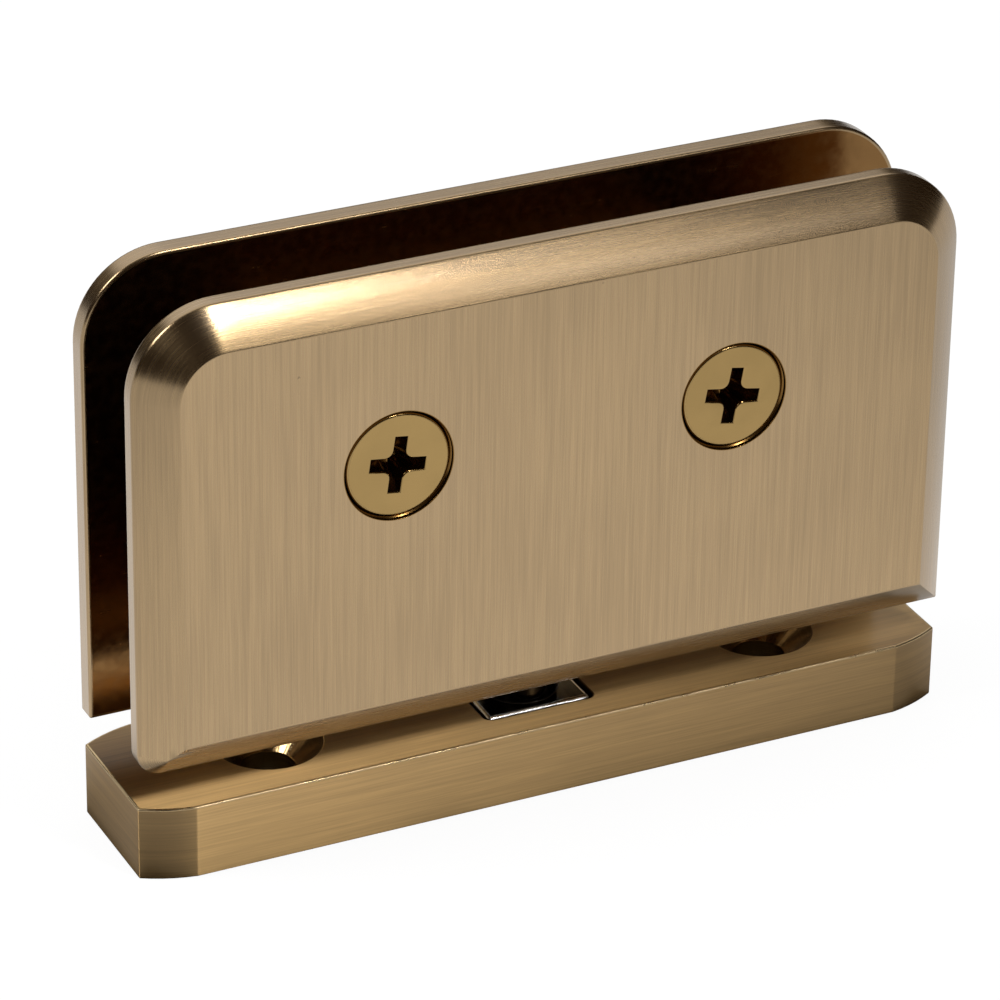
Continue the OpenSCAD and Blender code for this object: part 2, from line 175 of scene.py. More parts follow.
class HingeStageSettings(bpy.types.PropertyGroup):
    azimuth: angle("Azimuth", "Camera's angle round the hinge", -26.074)
    elevation: angle("Elevation", "Camera's angle above the floor", 27.766)
    roll: angle("Roll", "Camera's turn about its own axis", 0.9)
    distance: length("Distance", "Distance from the aim to the camera", 549.7)
    lens: FloatProperty(
        name="Lens", description="Focal length on a 36 mm sensor", default=193.2, unit="CAMERA"
    )
    aim: FloatVectorProperty(
        name="Aim", description="Point that the camera looks at", default=(0.00125, 0.0075, 0.02553),
        subtype="XYZ",
    )
    key: share("Front softbox", "Brightness of the softbox above the front", 40.0, 60.0)
    key_azimuth: angle("Front softbox angle", "Its angle round the hinge", 23)
    spark: share("Small lamp", "Brightness of the small lamp beside the softbox", 4.0, 20.0)
    side: share("Left softbox", "Brightness of the softbox on the left", 10.0, 20.0)
    floor: share("Floor brightness", "Brightness of the floor where nothing shades it", 1.0)
    # Painted shade on the floor, seen only in reflections: darker at the sides and against the base.
    floor_sides: share("Floor at the sides", "Brightness of the floor at either side, in reflections", 0.7)
    shade_level: share("Floor at the base", "Brightness of the floor against the base, in reflections", 0.4)
    shade_reach: length("Shade reach", "How far the shade round the base reaches", 18)
    room: share("Room brightness", "Brightness of the world on matt surfaces", 0.9)
    unlit: colour("Unlit studio", "Colour of the unlit studio in reflections", (0.02, 0.011, 0.004))
    wall_azimuth: angle("Pale wall angle", "Its angle round the hinge", 170)
    wall_elevation: angle("Pale wall height", "Its angle above the floor", 50)
    wall_spread: angle("Pale wall spread", "Half its width", 28)


# ---------- outlines and profiles ----------


def bend(before, here, after):
    """Directions from a corner back, ahead and into its bend, and half the angle between the first two."""
    back, ahead = (Vector(before) - here).normalized(), (Vector(after) - here).normalized()
    half = math.acos(max(-1.0, min(1.0, back.dot(ahead)))) / 2
    return back, ahead, (back + ahead).normalized(), half


def arc(here, turn, radius, steps):
    """Points of the arc of that radius that rounds a corner with that bend."""
    back, ahead, inward, half = turn
    reach, spread = radius / math.tan(half), math.pi - 2 * half
    centre = here + inward * (radius / math.sin(half))
    first, last = here + back * reach - centre, here + ahead * reach - centre
    angles = [k / steps * spread for k in range(steps + 1)]
    return [centre + (first * math.sin(spread - a) + last * math.sin(a)) / math.sin(spread) for a in angles]


def softened(corners, steps, support):
    """Polyline through corners (x, y) or (x, y, radius). A radius gives an arc, with a support point just
    outside each of its ends."""
    points = []
    for i, (x, y, *radius) in enumerate(corners):
        here = Vector((x, y))
        if not radius or radius[0] <= 0:
            points.append(here)
            continue
        turn = bend(corners[i - 1][:2], here, corners[i + 1][:2])
        curve = arc(here, turn, radius[0], steps)
        points += [curve[0] + turn[0] * support, *curve, curve[-1] + turn[1] * support]
    return points


def bowed(start, stop, rise, parts):
    """Inner points of a line that bows to its left by the given rise."""
    slope = (stop - start).normalized()
    left = Vector((-slope.y, slope.x))
    bows = ((k / parts, 4 * k / parts * (1 - k / parts) * rise) for k in range(1, parts))
    return [start.lerp(stop, along) + left * bow for along, bow in bows]


def lengths(points):
    """Length along a polyline to each of its points."""
    found = [0.0]
    for a, b in zip(points, points[1:]):
        found.append(found[-1] + (Vector(b) - Vector(a)).length)
    return found


def circle(radius, sides=SIDES):
    angles = [math.tau * i / sides for i in range(sides)]
    return [Vector((radius * math.cos(a), radius * math.sin(a))) for a in angles]


def rectangle(width, depth):
    """Corners of a rectangle about the origin, anticlockwise from the lower left."""
    w, d = width / 2, depth / 2
    return [(-w, -d), (w, -d), (w, d), (-w, d)]


def closed_outline(corners, radii, steps=6, spacing=2 * MM):
    """Gives a function that returns a convex closed outline, anticlockwise, at any inset. Its corners are
    rounded by the given radii, less the inset, and its long sides are split."""
    corners = [Vector(corner) for corner in corners]
    following = corners[1:] + corners[:1]
    bends = [bend(corners[i - 1], here, after) for i, (here, after) in enumerate(zip(corners, following))]
    parts = [max(1, round((after - here).length / spacing)) for here, after in zip(corners, following)]

    def outline_at(inset):
        arcs = []
        for here, radius, turn in zip(corners, radii, bends):
            _, _, inward, half = turn
            here = here + inward * (inset / math.sin(half))
            arcs.append(arc(here, turn, max(radius - inset, 0.0), steps) if radius > 0 else [here])
        points = []
        for curve, after, count in zip(arcs, arcs[1:] + arcs[:1], parts):
            points += [*curve, *(curve[-1].lerp(after[0], k / count) for k in range(1, count))]
        return points

    return outline_at


# ---------- meshes ----------

# A flat region: its directions with and over the grain, its lane of grain and its material slot.
PLAIN_FLAT = (X, Y, 0.0, 0)


def upright(p, height):
    return Vector((p[0], p[1], height))


def aimed(point, direction):
    """Placement at a point, its Z along a direction."""
    return Matrix.Translation(point) @ direction.to_track_quat("Z", "Y").to_matrix().to_4x4()


def quads(low, high):
    """Corners of the quads between two closed rings."""
    for j in range(len(low)):
        k = (j + 1) % len(low)
        yield low[j], low[k], high[k], high[j]


class Shell:
    """Mesh under construction. Each face corner keeps where it lies along and across the grain."""

    def __init__(self):
        self.points, self.faces, self.grain, self.cross, self.slots = [], [], [], [], []

    def ring(self, points):
        start = len(self.points)
        self.points.extend(Vector(p) for p in points)
        return list(range(start, start + len(points)))

    def face(self, ids, grain, cross, slot):
        self.faces.append(tuple(ids))
        self.grain.append(grain)
        self.cross.append(cross)
        self.slots.append(slot)

    def flat_face(self, ids, flat):
        along, cross, lane, slot = flat
        grain = [(self.points[i].dot(along), self.points[i].dot(cross), lane) for i in ids]
        self.face(ids, grain, cross, slot)

    def band(self, low, high, along, across, slot=0):
        """Quads between two rings. along holds the run length at each point and at the end, and across the
        two heights."""
        cross = X
        for j, ids in enumerate(quads(low, high)):
            a, b, c, d = (self.points[i] for i in ids)
            step = (d + c - a - b) / 2
            if step.length > 1e-6 * MM:
                cross = step.normalized()
            runs = ((j, 0), (j + 1, 0), (j + 1, 1), (j, 1))
            self.face(ids, [(along[run], across[side], 0) for run, side in runs], cross, slot)

    def patch(self, rings, flat=PLAIN_FLAT):
        """Flat face between one outer ring and its holes."""
        every = [i for ring in rings for i in ring]
        for triangle in tessellate_polygon([[self.points[i] for i in ring] for ring in rings]):
            ids = [every[i] for i in triangle]
            if len(set(ids)) == 3:
                self.flat_face(ids, flat)

    def cone(self, ring, tip, slot=0):
        """Closes a ring with a fan to one point."""
        centre = self.ring([tip])[0]
        for j, start in enumerate(ring):
            self.face((start, ring[(j + 1) % len(ring)], centre), [(0.0, 0.0, 0.0)] * 3, X, slot)

    def join(self, rings, along, across, slot, start, stop, worn=(), rubbed=0):
        """Joins rings by bands. start and stop are the flat regions that the end bands lie in, if any; worn
        holds the bands of a rubbed edge, which take the rubbed slot. Gives the first and last ring."""
        for i in range(len(rings) - 1):
            flat = start if i == 0 else stop if i == len(rings) - 2 else None
            if flat:
                for ids in quads(rings[i], rings[i + 1]):
                    self.flat_face(ids, flat)
            else:
                self.band(rings[i], rings[i + 1], along, across[i:i + 2], rubbed if i in worn else slot)
        return rings[0], rings[-1]

    def stack(self, outline_at, profile, place=upright, slot=0, start=None, stop=None, worn=(), rubbed=0):
        """Closed rings of an outline at each (inset, height) of a profile."""
        rings = [self.ring([place(p, height) for p in outline_at(inset)]) for inset, height in profile]
        outline = outline_at(0.0)
        along = lengths([*outline, outline[0]])
        return self.join(rings, along, lengths(profile), slot, start, stop, worn, rubbed)

    def bore(self, centre, profile, place=upright, slot=0, sides=SIDES, start=None, stop=None):
        """Rings of a round hole or boss at each (radius, height) of a profile."""
        widest = max(radius for radius, _ in profile)
        along = [widest * math.tau * i / sides for i in range(sides + 1)]
        middle = Vector(centre)
        rings = [self.ring([place(middle + p, z) for p in circle(radius, sides)]) for radius, z in profile]
        return self.join(rings, along, lengths(profile), slot, start, stop)

    def build(self, name, materials, place=Matrix.Identity(4)):
        """The finished object, its place in its mesh."""
        turn = place.to_3x3()
        mesh = bpy.data.meshes.new(name)
        mesh.from_pydata([place @ p for p in self.points], [], self.faces)
        grain_values, cross_values = [], []
        for runs, over in zip(self.grain, self.cross):
            facing = turn @ over
            for along, across, lane in runs:
                grain_values.extend((along / MM, across / MM, lane))
                cross_values.extend(facing)
        for attribute, values in (("grain", grain_values), ("cross", cross_values)):
            mesh.attributes.new(attribute, "FLOAT_VECTOR", "CORNER").data.foreach_set("vector", values)
        mesh.polygons.foreach_set("material_index", self.slots)
        for material in materials:
            mesh.materials.append(material)
        bm = bmesh.new()
        bm.from_mesh(mesh)
        bmesh.ops.remove_doubles(bm, verts=bm.verts, dist=0.002 * MM)
        bmesh.ops.dissolve_degenerate(bm, edges=bm.edges, dist=0.001 * MM)
        bmesh.ops.recalc_face_normals(bm, faces=bm.faces)
        bm.to_mesh(mesh)
        bm.free()
        mesh.shade_smooth()
        mesh.set_sharp_from_angle(angle=CREASE)
        return add_object(name, mesh)


def add_object(name, data):
    piece = bpy.data.objects.new(name, data)
    bpy.context.scene.collection.objects.link(piece)
    return piece


# ---------- finishes ----------


class Nodes:
    """Nodes of one tree. An input takes a plain value or another node's output."""

    def __init__(self, tree):
        self.tree = tree

    def feed(self, socket, value):
        if isinstance(value, bpy.types.NodeSocket):
            self.tree.links.new(value, socket)
        elif value is not None:
            socket.default_value = (*value, 1.0) if socket.type == "RGBA" else value

    def add(self, kind, inputs=None, **settings):
        node = self.tree.nodes.new(kind)
        for key, value in settings.items():
            setattr(node, key, value)
        for key, value in (inputs or {}).items():
            self.feed(node.inputs[key], value)
        return node

    def math(self, operation, a, b=None, clamp=False):
        return self.add("ShaderNodeMath", {0: a, 1: b}, operation=operation, use_clamp=clamp).outputs[0]

    def ramp(self, value, bottom, top, low=0.3, high=0.7, kind="SMOOTHSTEP"):
        """Value taken from low..high to bottom..top."""
        inputs = {"Value": value, "From Min": low, "From Max": high, "To Min": bottom, "To Max": top}
        return self.add("ShaderNodeMapRange", inputs, interpolation_type=kind).outputs["Result"]

    def place(self):
        """Coordinates in the object."""
        return self.add("ShaderNodeTexCoord").outputs["Object"]

    def attribute(self, name):
        return self.add("ShaderNodeAttribute", attribute_name=name).outputs["Vector"]

    def scaled(self, vector, scale, shift=(0, 0, 0)):
        scale = (scale,) * 3 if isinstance(scale, (int, float)) else scale
        inputs = {"Vector": vector, "Scale": scale, "Location": shift}
        return self.add("ShaderNodeMapping", inputs).outputs["Vector"]

    def noise(self, vector, scale, shift=(0, 0, 0), detail=2.0, roughness=0.5):
        vector = self.scaled(vector, scale, shift)
        inputs = {"Vector": vector, "Scale": 1.0, "Detail": detail, "Roughness": roughness}
        return self.add("ShaderNodeTexNoise", inputs).outputs["Fac"]

    def spots(self, vector, scale, size, share):
        """1 inside small round spots, of which only a share of the cells has one."""
        cells = self.add("ShaderNodeTexVoronoi", {"Vector": self.scaled(vector, scale), "Scale": 1.0})
        split = self.add("ShaderNodeSeparateColor", {"Color": cells.outputs["Color"]}).outputs
        reach = self.math("MULTIPLY", split["Green"], size)
        inside = self.math("LESS_THAN", cells.outputs["Distance"], reach)
        return self.math("MULTIPLY", self.math("LESS_THAN", split["Red"], share), inside)

    def tint(self, colour, factor):
        """The colour multiplied by a factor."""
        grey = self.add("ShaderNodeCombineColor", {0: factor, 1: factor, 2: factor}).outputs[0]
        inputs = {"Factor": 1.0, "A": colour, "B": grey}
        return self.add("ShaderNodeMix", inputs, data_type="RGBA", blend_type="MULTIPLY").outputs["Result"]

    def bump(self, height, depth, below=None):
        """Normal over a height, in millimetres."""
        inputs = {"Height": height, "Distance": depth * MM, "Strength": 1.0, "Normal": below}
        return self.add("ShaderNodeBump", inputs).outputs["Normal"]

    def metal(self, colour, shade, roughness, normal, metallic=1.0):
        """Inputs of a principled shader."""
        base = self.tint(colour, shade)
        return {"Base Color": base, "Roughness": roughness, "Normal": normal, "Metallic": metallic}


COAT_ROUGHNESS = 0.2


def blank_material(name):
    material = bpy.data.materials.new(name)
    material.use_nodes = True
    material.node_tree.nodes.clear()
    return material, Nodes(material.node_tree)


def finish(maker, name, *args):
    """The material of that name, made once. The maker gives its shader's inputs."""
    if name in bpy.data.materials:
        return bpy.data.materials[name]
    material, nodes = blank_material(name)
    shader = nodes.add("ShaderNodeBsdfPrincipled", maker(nodes, *args))
    nodes.add("ShaderNodeOutputMaterial", {"Surface": shader.outputs[0]})
    return material


def brushed_brass(nodes, colour, roughness=0.26, anisotropy=0.7, coarse=1.0, lacquer=0.8):
    """Lacquered brass brushed along its grain: hair-fine lines, a few scores, faint stains and rare pits."""
    grain = nodes.attribute("grain")
    hair = nodes.noise(grain, (0.09, 7.0 / coarse, 3.1), detail=3.0, roughness=0.65)
    soft = nodes.noise(grain, (0.06, 2.2 / coarse, 1.7), (7, 3, 1))
    score = nodes.noise(grain, (0.05, 9.0 / coarse, 2.3), (3, 8, 6), detail=1.0)
    stain = nodes.noise(grain, (0.06, 0.06, 1.0), (2, 9, 4))
    pits = nodes.spots(grain, 0.28, 0.045, 0.14)
    shade = nodes.math("ADD", nodes.ramp(hair, -0.10, 0.10, 0.25, 0.75), nodes.ramp(soft, -0.05, 0.05))
    shade = nodes.math("SUBTRACT", shade, nodes.ramp(score, 0.0, 0.05, 0.69, 0.78))
    shade = nodes.math("ADD", shade, nodes.ramp(stain, 0.965, 1.035))
    shade = nodes.math("MULTIPLY", shade, nodes.math("SUBTRACT", 1.0, nodes.math("MULTIPLY", pits, 0.3)))
    rough = nodes.ramp(hair, roughness - 0.03, roughness + 0.03, 0.2, 0.8)
    rough = nodes.math("ADD", rough, nodes.ramp(stain, -0.01, 0.02))
    normal = nodes.bump(nodes.math("ADD", hair, nodes.math("MULTIPLY", soft, 0.25)), 0.008 * coarse)
    normal = nodes.bump(nodes.math("SUBTRACT", 1.0, pits), 0.02, normal)
    over_grain = nodes.add(
        "ShaderNodeVectorTransform", {0: nodes.attribute("cross")},
        vector_type="VECTOR", convert_from="OBJECT", convert_to="WORLD",
    )
    return {
        **nodes.metal(colour, shade, rough, normal),
        "Anisotropic": anisotropy, "Tangent": over_grain.outputs[0],
        "Coat Weight": lacquer, "Coat Roughness": COAT_ROUGHNESS,
    }


def plated_casting(nodes, colour):
    """Glossy plating over an unbrushed face: fine specks, faint scratches and a slightly rippled skin."""
    place = nodes.place()
    ripple = nodes.noise(place, 160, detail=4.0, roughness=0.6)
    grit = nodes.noise(place, 900, detail=3.0)
    scratch = nodes.noise(place, (260, 900, 1900), (0.3, 0.9, 0.7))
    rough = nodes.math("ADD", nodes.ramp(grit, 0.14, 0.24), nodes.ramp(scratch, 0.0, 0.05, 0.66, 0.72))
    normal = nodes.bump(grit, 0.006, nodes.bump(ripple, 0.03))
    normal = nodes.bump(nodes.spots(place, 420, 0.12, 0.10), 0.02, normal)
    return nodes.metal(colour, nodes.ramp(ripple, 0.95, 1.05), rough, normal)


def polished_metal(nodes, colour, roughness=0.1, wipe=0.05, scratch_depth=0.0015):
    """Polished metal with a faint wipe haze, hairline scratches and a few dark specks."""
    place = nodes.place()
    haze = nodes.noise(place, 220, detail=3.0)
    hair = nodes.noise(place, (300, 2500, 5200), (0.2, 0.5, 0.9))
    specks = nodes.spots(place, 700, 0.16, 0.06)
    shade = nodes.math("SUBTRACT", nodes.ramp(haze, 0.95, 1.04), nodes.math("MULTIPLY", specks, 0.3))
    rough = nodes.ramp(haze, roughness, roughness + wipe)
    return nodes.metal(colour, shade, rough, nodes.bump(hair, scratch_depth))


def chattered_metal(nodes, colour, roughness=0.15):
    """Freshly countersunk metal with fine chatter lines down its cone."""
    grain = nodes.attribute("grain")
    lines = nodes.noise(grain, (1.6, 0.12, 1.0), detail=3.0, roughness=0.6)
    rings = nodes.noise(grain, (0.1, 5.0, 1.0), (4, 2, 7))
    shade = nodes.math("MULTIPLY", nodes.ramp(lines, 0.85, 1.06, 0.35, 0.65), nodes.ramp(rings, 0.94, 1.03))
    normal = nodes.bump(rings, 0.006, nodes.bump(lines, 0.03))
    return nodes.metal(colour, shade, nodes.ramp(rings, roughness, roughness + 0.08), normal)


def machined_metal(nodes, colour, roughness=0.3, pitch=2600.0, axis=2):
    """Machined metal with fine tool marks across one axis."""
    place = nodes.place()
    scale = [90.0, 90.0, 90.0]
    scale[axis] = pitch
    marks = nodes.noise(place, scale)
    stain = nodes.noise(place, 120, (1, 2, 3), detail=3.0)
    shade = nodes.math("ADD", nodes.ramp(marks, -0.07, 0.07), nodes.ramp(stain, 0.92, 1.05))
    rough = nodes.ramp(marks, roughness - 0.05, roughness + 0.07)
    return nodes.metal(colour, shade, rough, nodes.bump(marks, 0.004))


def sintered_bronze(nodes, colour):
    """Porous bronze: small dark pores, dull and slightly oily."""
    place = nodes.place()
    pores = nodes.spots(place, 2600, 0.5, 0.5)
    cloud = nodes.noise(place, 300, detail=3.0)
    shade = nodes.math("SUBTRACT", nodes.ramp(cloud, 0.85, 1.1), nodes.math("MULTIPLY", pores, 0.45))
    normal = nodes.bump(nodes.math("SUBTRACT", 1.0, pores), 0.01)
    return nodes.metal(colour, shade, nodes.ramp(cloud, 0.32, 0.5), normal)


def turned_plastic(nodes, colour):
    """Turned natural plastic with faint rings."""
    place = nodes.place()
    mark = nodes.noise(place, (200, 200, 3500))
    shade = nodes.ramp(nodes.noise(place, 250), 0.93, 1.03)
    return nodes.metal(colour, shade, nodes.ramp(mark, 0.35, 0.5), nodes.bump(mark, 0.004), 0.0)


# ---------- plates ----------

CROWN_PARTS = 8
SUPPORT = 0.05 * MM  # how far beyond an arc its support point lies
DRILL_POINT = 0.1  # height of a tapped hole's nearly flat point, as a share of its radius


def plate_profile(settings, rim, thick):
    """Section of a plate's edge from its inner face over the rim and crowned bevel to its outer face."""
    foot, crest = Vector((0, rim)), Vector((settings.bevel, thick))
    return softened([
        (1.0 * MM, 0), (0, 0, settings.inner_arris), (*foot, settings.arris),
        *bowed(foot, crest, settings.crown, CROWN_PARTS),
        (*crest, settings.crest), (settings.bevel + 0.6 * MM, thick),
    ], 5, 0.1 * MM)


def make_plate(settings, materials, name, rim, side, holes):
    """One clamp plate. side is -1 for the front and 1 for the back; a hole is (x, z, profile, whether it goes
    through)."""
    low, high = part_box(name)
    inner = abs(high.y) if side < 0 else abs(low.y)
    middle = (low.z + high.z) / 2
    shell = Shell()

    def place(p, out):
        return Vector((p[0], side * (inner + out), middle + p[1]))

    lower_left = settings.worn_corner if side < 0 else settings.crisp_corner
    radii = (lower_left, settings.crisp_corner, settings.corner, settings.corner)
    outline_at = closed_outline(rectangle(high.x - low.x, high.z - low.z), radii, 18)
    outside, inside = (Z, X, 4.0, 0), (Z, X, 8.0, 2)
    profile = plate_profile(settings, rim, high.y - low.y)
    inner_ring, outer_ring = shell.stack(outline_at, profile, place, start=inside, stop=outside)
    inner_rings, outer_rings = [inner_ring], [outer_ring]
    for x, z, hole, through in holes:
        centre = (x, z - middle)
        if through:
            first, last = shell.bore(centre, hole, place, 1, start=outside, stop=inside)
            outer_rings.append(first)
            inner_rings.append(last)
        else:
            first, last = shell.bore(centre, hole, place, 1, start=inside)
            inner_rings.append(first)
            radius, depth = hole[-1]
            shell.cone(last, place(centre, depth + DRILL_POINT * radius), 1)
    shell.patch(outer_rings, outside)
    shell.patch(inner_rings, inside)
    return shell.build(name.replace("_plate", "_clamp_plate"), materials)


def screw_place(node):
    """Middle of a screw's axis across the plates, and its highest y."""
    low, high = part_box(node)
    return (low.x + high.x) / 2, (low.z + high.z) / 2, high.y


def countersink(sink, hole, top, edge, lip=0.0):
    """Profile of a countersunk through hole from the outer face to the inner one, with an upright lip if
    asked. sink and hole are radii."""
    return softened([
        (sink + 0.6 * MM, top), (sink, top, edge),
        *([(sink, top - lip, 0.05 * MM)] if lip else []),
        (hole, top - lip - sink + hole, 0.1 * MM), (hole, 0, edge), (hole + 0.5 * MM, 0),
    ], 3, 0.04 * MM)


def blind_hole(radius, depth, edge, mouth=0.0):
    """Profile of a plain hole that goes in from the face at the height of its mouth."""
    corners = [(radius + 0.5 * MM, mouth), (radius, mouth, edge), (radius, mouth + depth)]
    return softened(corners, 3, SUPPORT)


class HINGE_OT_plates(bpy.types.Operator):
    """Makes the two bevelled clamp plates"""

    bl_idname = "hinge.plates"
    bl_label = "Clamp plates"

    def execute(self, context):
        settings = context.scene.hinge_plates
        colours = context.scene.hinge_finish
        materials = [
            finish(brushed_brass, "satin_brushed_brass", colours.satin),
            # Slot 1, the holes' walls: partly tarnish, partly painted shade.
            finish(polished_metal, "countersink_tarnish_and_shade", colours.tarnish_and_shade, 0.2),
            # Inner faces: darkened by painted shade of the gap between the plates.
            finish(plated_casting, "plated_inner_face_painted_shade", colours.inside),
        ]
        low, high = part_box("front_plate")
        clamp = [screw_place(node) for node in ("left_clamp_screw", "right_clamp_screw")]
        block = [screw_place(node) for node in ("left_block_screw", "right_block_screw")]
        sink, hole = settings.sink / 2, settings.screw_hole / 2
        sunk = countersink(sink, hole, high.y - low.y, 0.04 * MM, settings.sink_lip)
        front_holes = [(x, z, sunk, True) for x, z, _ in clamp]
        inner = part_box("back_plate")[0].y
        back_holes = []
        for screws, tap in ((clamp, settings.clamp_tap), (block, settings.block_tap)):
            for x, z, far in screws:
                back_holes.append((x, z, blind_hole(tap / 2, far - inner + 0.1 * MM, 0.06 * MM), False))
        front = make_plate(settings, materials, "front_plate", settings.front_rim, -1, front_holes)
        back = make_plate(settings, materials, "back_plate", settings.back_rim, 1, back_holes)
        for piece, node in ((front, "front_plate"), (back, "back_plate")):
            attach(piece, "clamp")
            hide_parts(node)
        return {"FINISHED"}


# ---------- base ----------

BOW_PARTS = 5
RUBBED_SLOT = 3


def base_outline(settings, width, depth):
    """Outline of the base: long sides, slightly bowed corner facets and narrower flat ends."""
    tip, heel = Vector((width / 2, settings.end_width / 2)), Vector((width / 2 - settings.end_run, depth / 2))
    quarter = [tip, *bowed(tip, heel, -settings.end_bow, BOW_PARTS), heel]
    radii = [settings.end_corner, *[0] * (BOW_PARTS - 1), settings.heel_corner]
    corners = []
    for x, y, order in ((1, 1, 1), (-1, 1, -1), (-1, -1, 1), (1, -1, -1)):
        corners += [(x * p.x, y * p.y) for p in quarter[::order]]
    return closed_outline(corners, 2 * (radii + radii[::-1]), 5)


class HINGE_OT_base(bpy.types.Operator):
    """Makes the base plate with its pocket and countersunk holes"""

    bl_idname = "hinge.base"
    bl_label = "Base plate"

    def execute(self, context):
        settings = context.scene.hinge_base
        colours = context.scene.hinge_finish
        low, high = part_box("base_plate")
        foot_low, foot_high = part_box("pivot_pin")
        thick, floor = high.z - low.z, foot_low.z
        shell = Shell()
        upper, under, pit = (X, Y, 3.0, 0), (X, Y, 6.0, 0), (X, Y, 9.0, 2)
        edge = settings.arris
        profile = softened(
            [(0.6 * MM, low.z), (0, low.z, edge), (0, thick, edge), (0.6 * MM, thick)], 4, 0.08 * MM
        )
        worn = [i for i in range(len(profile) - 2) if profile[i][1] > thick - 1.01 * edge]
        outline_at = base_outline(settings, high.x - low.x, high.y - low.y)
        bottom_ring, top_ring = shell.stack(
            outline_at, profile, start=under, stop=upper, worn=worn, rubbed=RUBBED_SLOT
        )
        tops, bottoms = [top_ring], [bottom_ring]
        sunk = countersink(settings.sink / 2, settings.hole / 2, thick, 0.08 * MM)
        for side in (-1, 1):
            first, last = shell.bore((side * settings.spacing / 2, 0), sunk, slot=1, start=upper, stop=under)
            tops.append(first)
            bottoms.append(last)
        foot = foot_high - foot_low
        gap = 2 * settings.pocket_gap
        pocket = closed_outline(rectangle(foot.x + gap, foot.y + gap), [settings.pocket_corner] * 4)
        profile = softened(
            [(-0.4 * MM, thick), (0, thick, 0.08 * MM), (0, floor, 0.1 * MM), (0.5 * MM, floor)], 3, SUPPORT
        )
        mouth, pocket_floor = shell.stack(pocket, profile, slot=2, start=upper, stop=pit)
        tops.append(mouth)
        sink, hole = settings.foot_sink / 2, settings.foot_hole / 2
        profile = softened([
            (sink + 0.5 * MM, 0), (sink, 0, 0.06 * MM), (hole, sink - hole, 0.1 * MM),
            (hole, floor, 0.05 * MM), (hole + 0.4 * MM, floor),
        ], 3, SUPPORT)
        first, last = shell.bore((0, 0), profile, slot=1, start=under, stop=pit)
        bottoms.append(first)
        shell.patch(tops, upper)
        shell.patch(bottoms, under)
        shell.patch([pocket_floor, last], pit)
        piece = shell.build("base_bar", [
            finish(brushed_brass, "brushed_base_brass", colours.base, 0.5, 1.0, 1.4, 0.4),
            finish(chattered_metal, "bright_countersink", colours.bright, 0.12),
            # The pocket's walls and floor: painted shade.
            finish(machined_metal, "pocket_painted_shade", colours.shadow, 0.4),
            finish(polished_metal, "rubbed_edge", colours.rubbed, 0.22, 0.15, 0.02),
        ])
        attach(piece, "base")
        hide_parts("base_plate")
        return {"FINISHED"}


# ---------- pin ----------


class HINGE_OT_pin(bpy.types.Operator):
    """Makes the pivot pin: chamfered foot, neck, and journal with four flats"""

    bl_idname = "hinge.pin"
    bl_label = "Pivot pin"

    def execute(self, context):
        settings = context.scene.hinge_pin
        colours = context.scene.hinge_finish
        low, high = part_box("pivot_pin")
        base_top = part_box("base_plate")[1].z
        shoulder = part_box("thrust_washer")[0].z
        screw_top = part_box("foot_screw")[1].z
        shell = Shell()
        foot = closed_outline(rectangle(high.x - low.x, high.y - low.y), [settings.corner] * 4, 4, 1 * MM)
        cut = settings.chamfer
        profile = softened([
            (0.8 * MM, low.z), (0, low.z, 0.1 * MM), (0, base_top - cut, 0.4 * MM), (cut, base_top, 0.4 * MM),
            (cut + 0.5 * MM, base_top),
        ], 5, SUPPORT)
        # The chamfer's bands take the bright edge slot: a painted highlight, besides the lamps' own
        # reflection.
        worn = [i for i in range(len(profile) - 2) if profile[i][1] > base_top - 1.2 * cut]
        under, top = shell.stack(foot, profile, worn=worn, rubbed=1)
        neck, journal, start = settings.neck / 2, settings.journal / 2, shoulder + 1 * MM
        profile = softened([
            (neck + 0.5 * MM, base_top), (neck, base_top, 0.15 * MM), (neck, shoulder, 0.15 * MM),
            (journal, shoulder, 0.1 * MM), (journal, start),
        ], 3, SUPPORT)
        first, last = shell.bore((0, 0), profile)
        shell.patch([top, first])
        # Each ring of the journal: its height, its radius, and whether the flats cut it.
        across, spare, bevel = journal - settings.flat, 0.15 * MM, 0.4 * MM
        flats_low, flats_high = (corner.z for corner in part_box("left_plunger"))
        along = [journal * math.tau * i / SIDES for i in range(SIDES + 1)]
        previous, height = last, start
        for z, radius, cut_flat in (
            (flats_low - spare, journal, False), (flats_low - spare, journal, True),
            (flats_high + spare, journal, True), (flats_high + spare, journal, False),
            (high.z - bevel, journal, False), (high.z, journal - bevel, False),
        ):
            points = circle(radius)
            if cut_flat:
                points = [[max(-across, min(across, part)) for part in p] for p in points]
            ring = shell.ring([upright(p, z) for p in points])
            shell.band(previous, ring, along, (height, z))
            previous, height = ring, z
        shell.cone(previous, (0, 0, high.z))
        tap = blind_hole(settings.tap / 2, screw_top + 0.4 * MM - low.z, 0.1 * MM, low.z)
        first, last = shell.bore((0, 0), tap)
        shell.cone(last, (0, 0, screw_top + 1.4 * MM))
        shell.patch([under, first])
        piece = shell.build("pin_with_foot", [
            # Near-black steel as painted dark reflection, and a bright edge as painted highlight.
            finish(polished_metal, "pin_steel_painted_dark", colours.steel, 0.1, 0.05, 0.004),
            finish(polished_metal, "pin_edge_painted_highlight", colours.pin_edge_highlight, 0.14, 0.12, 0.03),
        ])
        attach(piece, "base")
        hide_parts("pivot_pin")
        return {"FINISHED"}


# ---------- coils and threads ----------

COIL_TREE = "Coil along an axis"
COIL_STEPS = 32
THREAD_DEPTH, THREAD_AXIS, THREAD_WIRE = 0.54, 0.36, 0.34  # shares of the pitch
THREAD_TIP = 0.5 * MM


